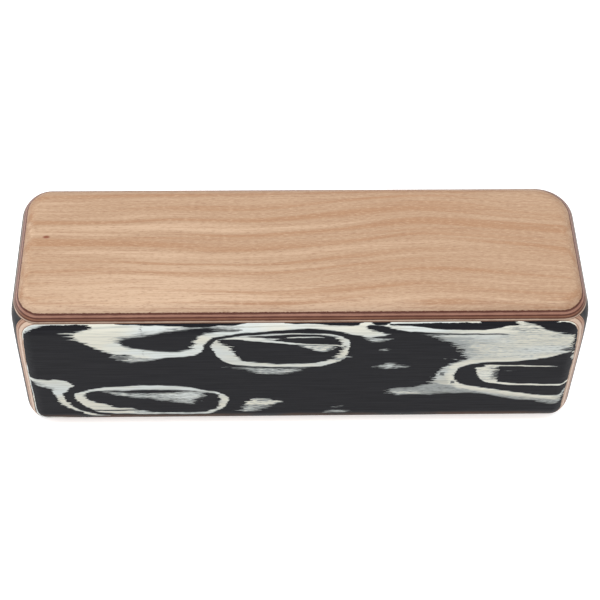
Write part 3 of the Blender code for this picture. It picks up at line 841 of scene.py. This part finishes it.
def mesh_from(name, builder):
    shape = bmesh.new()
    builder(shape)
    bmesh.ops.recalc_face_normals(shape, faces=shape.faces)
    mesh = bpy.data.meshes.new(name)
    shape.to_mesh(mesh)
    shape.free()
    return mesh


def add_object(name, data):
    item = bpy.data.objects.new(name, data)
    bpy.context.scene.collection.objects.link(item)
    return item


def outline_heights():
    """Heights of the outlines: close together round the edges, wider apart up the flat sides."""
    drops = [ROUND_Z * (1 - math.sin(step / ARC_STEPS * math.pi / 2)) for step in range(ARC_STEPS + 1)]
    start = HEIGHT / 2
    rise = HEIGHT - ROUND_Z - start
    upright = [start + rise * step / UPRIGHT_STEPS for step in range(UPRIGHT_STEPS)]
    return drops[::-1] + upright + [HEIGHT - drop for drop in drops]


def outline_ring(shape, height):
    """Outline of the box at a height: a rounded rectangle, set in where the edge rounds to a flat face."""
    to_face = min(height, HEIGHT - height)
    turned = math.asin(min(max(1 - to_face / ROUND_Z, 0.0), 1.0))
    inset = 1 - math.cos(turned)
    growth = max(2 * height / HEIGHT - 1, 0.0) ** CORNER_GROWTH
    ring = []
    for quarter, (side_x, side_y, upper_x, upper_y) in enumerate(CORNERS):
        full_x = UPRIGHT_ROUND_X + (upper_x - UPRIGHT_ROUND_X) * growth
        full_y = UPRIGHT_ROUND_Y + (upper_y - UPRIGHT_ROUND_Y) * growth
        centre_x = side_x * (LENGTH / 2 - full_x)
        centre_y = side_y * (DEPTH / 2 - full_y)
        for step in range(ARC_STEPS + 1):
            turn = (quarter + step / ARC_STEPS) * math.pi / 2
            x = centre_x + (full_x - END_ROUND_X * inset) * math.cos(turn)
            y = centre_y + (full_y - LONG_ROUND_Y * inset) * math.sin(turn)
            ring.append(shape.verts.new((x, y, height)))
    return ring


def build_outside(shape):
    """The sanded outside of the whole box: outlines from the underside to the lid, joined by faces."""
    rings = [outline_ring(shape, height) for height in outline_heights()]
    for lower, higher in zip(rings, rings[1:]):
        for start in range(len(lower)):
            end = (start + 1) % len(lower)
            shape.faces.new((lower[start], lower[end], higher[end], higher[start]))
    shape.faces.new(rings[0])
    shape.faces.new(rings[-1])


def raw_sheet(node, panel, face):
    """Corners of the flat sheet that a ply is sanded from."""
    low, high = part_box(node)
    sides = list(panel.sanded)
    if face:
        axis = [abs(part) for part in panel.out].index(1)
        sides.append(("+" if panel.out[axis] > 0 else "-") + "xyz"[axis])
    for sign, axis in sides:
        corner = high if sign == "+" else low
        corner["xyz".index(axis)] += SANDING_ALLOWANCE if sign == "+" else -SANDING_ALLOWANCE
    return low, high


def panel_frame(panel):
    """Frame of a panel: Z out of its outer face, Y across it, and its origin on the edge where Y starts."""
    out = Vector(panel.out)
    up = Vector(panel.up)
    along = up.cross(out)
    half = (HIGH - LOW) / 2
    reach_out = abs(half.dot(out))
    reach_up = abs(half.dot(up))
    origin = CENTRE + out * reach_out - up * reach_up
    return Matrix.Translation(origin) @ Matrix((along, up, out)).transposed().to_4x4()


def sanded_sheet(node, panel, face, outside):
    """A flat sheet cut to the rounded outside of the box, as an object in the frame of its panel."""
    low, high = raw_sheet(node, panel, face)

    def build(shape):
        bmesh.ops.create_cube(shape, size=1.0)
        bmesh.ops.scale(shape, vec=high - low, verts=shape.verts)
        bmesh.ops.translate(shape, vec=(low + high) / 2, verts=shape.verts)

    sheet = add_object(f"{node}_sheet", mesh_from(node, build))
    sanding = sheet.modifiers.new("sanding", "BOOLEAN")
    sanding.operation = "INTERSECT"
    sanding.solver = "EXACT"
    sanding.object = outside
    evaluated = sheet.evaluated_get(bpy.context.evaluated_depsgraph_get())
    sheet.data = bpy.data.meshes.new_from_object(evaluated)
    sheet.modifiers.remove(sanding)
    place = panel_frame(panel)
    sheet.data.transform(place.inverted())
    sheet.matrix_world = place
    sheet.data.materials.clear()
    sheet.data.shade_smooth()
    sheet.data.set_sharp_from_angle(angle=SHARP_ANGLE)
    smoothing = sheet.modifiers.new("smoothing", "WEIGHTED_NORMAL")
    smoothing.keep_sharp = True
    return sheet


def add_case():
    """All plies of the lid, the floor and the long walls, and the two end boards."""
    woods = wood_materials()
    outside = add_object("outside", mesh_from("outside", build_outside))
    for panel_name, panel in PANELS.items():
        for number, (layer, slot) in enumerate(LAYERS[panel.kind].items()):
            node = f"{panel_name}_{layer}"
            sheet = sanded_sheet(node, panel, number == 0, outside)
            sheet.data.materials.append(woods[panel.kind, layer])
            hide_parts(node)
            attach(sheet, "case")
    bpy.data.objects.remove(outside)


# Steel shot is a little out of round
SHOT_SUBDIVISIONS = 4
SHOT_DENT = 0.00003
SHOT_DENT_SCALE = 900.0


def build_ball(shape, radius):
    bmesh.ops.create_icosphere(shape, subdivisions=SHOT_SUBDIVISIONS, radius=radius)
    for vert in shape.verts:
        vert.co += vert.co.normalized() * SHOT_DENT * (noise.noise(vert.co * SHOT_DENT_SCALE) - 1.0)


def add_shot():
    """The loose steel shot, each ball on its own body."""
    steel = steel_material()
    low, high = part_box("steel_shot_01")
    mesh = mesh_from("shot", lambda shape: build_ball(shape, (high.z - low.z) / 2))
    mesh.shade_smooth()
    mesh.materials.append(steel)
    for body, nodes in frame["record"]["behaviour"]["bodies"].items():
        for node in nodes:
            if node.startswith("steel_shot"):
                low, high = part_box(node)
                ball = add_object(f"{node}_ball", mesh)
                ball.location = (low + high) / 2
                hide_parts(node)
                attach(ball, body)


# Studio: a white floor that keeps a soft shadow, an even white surround and three large soft lamps
PLAIN_WHITE = (1.0, 1.0, 1.0)
FLOOR_SIZE = 3.0
FLOOR_SEGMENTS = 8
FLOOR_DROP = 0.0002
FLOOR_COLOUR = linear(238, 238, 238)
FLOOR_ROUGHNESS = 0.9
FLOOR_LIFT = 0.56
SURROUND = 0.62
Lamp = namedtuple("Lamp", "place size power")
LAMPS = {
    "key": Lamp((-0.5, -0.35, 1.6), 1.2, 12.5),
    "fill": Lamp((0.6, -0.25, 1.5), 1.2, 8.0),
    "side": Lamp((-1.1, 0.3, 0.2), 0.8, 5.0),
}


def add_floor():
    def build(shape):
        half = FLOOR_SIZE / 2
        bmesh.ops.create_grid(shape, x_segments=FLOOR_SEGMENTS, y_segments=FLOOR_SEGMENTS, size=half)

    floor = add_object("floor", mesh_from("floor", build))
    floor.location.z = LOW.z - FLOOR_DROP
    shader = new_shader("floor")
    floor.data.materials.append(shader.fill({
        "Base Color": FLOOR_COLOUR,
        "Roughness": FLOOR_ROUGHNESS,
        "Specular IOR Level": 0.0,
        "Emission Color": PLAIN_WHITE,
        "Emission Strength": shader.seen() * FLOOR_LIFT,
    }))


def add_surround():
    """An even surround that is white to look at and lights the box a little less."""
    world = bpy.data.worlds.new("surround")
    bpy.context.scene.world = world
    shader = Shader(world, "Background")
    strength = shader.ramp(shader.seen(), 0.0, 1.0, SURROUND, 1.0, smooth=False)
    shader.fill({"Color": PLAIN_WHITE, "Strength": strength})


def add_lamps():
    for name, lamp in LAMPS.items():
        light = bpy.data.lights.new(name, "AREA")
        light.shape = "DISK"
        light.size = lamp.size
        light.energy = lamp.power
        item = add_object(name, light)
        item.location = lamp.place
        item.rotation_euler = (CENTRE - Vector(lamp.place)).to_track_quat("-Z", "Y").to_euler()


def add_camera():
    """Camera at the photograph's angle: it looks at the middle of the box and leans a little to one side."""
    side = Vector((math.cos(VIEW_AZIMUTH), math.sin(VIEW_AZIMUTH), 0.0))
    back = Vector((math.sin(VIEW_AZIMUTH) * math.cos(VIEW_ELEVATION),
                   -math.cos(VIEW_AZIMUTH) * math.cos(VIEW_ELEVATION),
                   math.sin(VIEW_ELEVATION)))
    up = back.cross(side)
    right = side * math.cos(VIEW_ROLL) + up * math.sin(VIEW_ROLL)
    upright = back.cross(right)
    lens = bpy.data.cameras.new("camera")
    lens.sensor_width = SENSOR
    lens.lens = LENS
    lens.shift_x = SHIFT_X
    lens.shift_y = SHIFT_Y
    camera = add_object("camera", lens)
    turn = Matrix((right, upright, back)).transposed().to_4x4()
    camera.matrix_world = Matrix.Translation(CENTRE + back * VIEW_DISTANCE) @ turn
    bpy.context.scene.camera = camera


add_case()
add_shot()
add_floor()
add_surround()
add_lamps()
add_camera()
bpy.context.scene.view_settings.view_transform = "Standard"
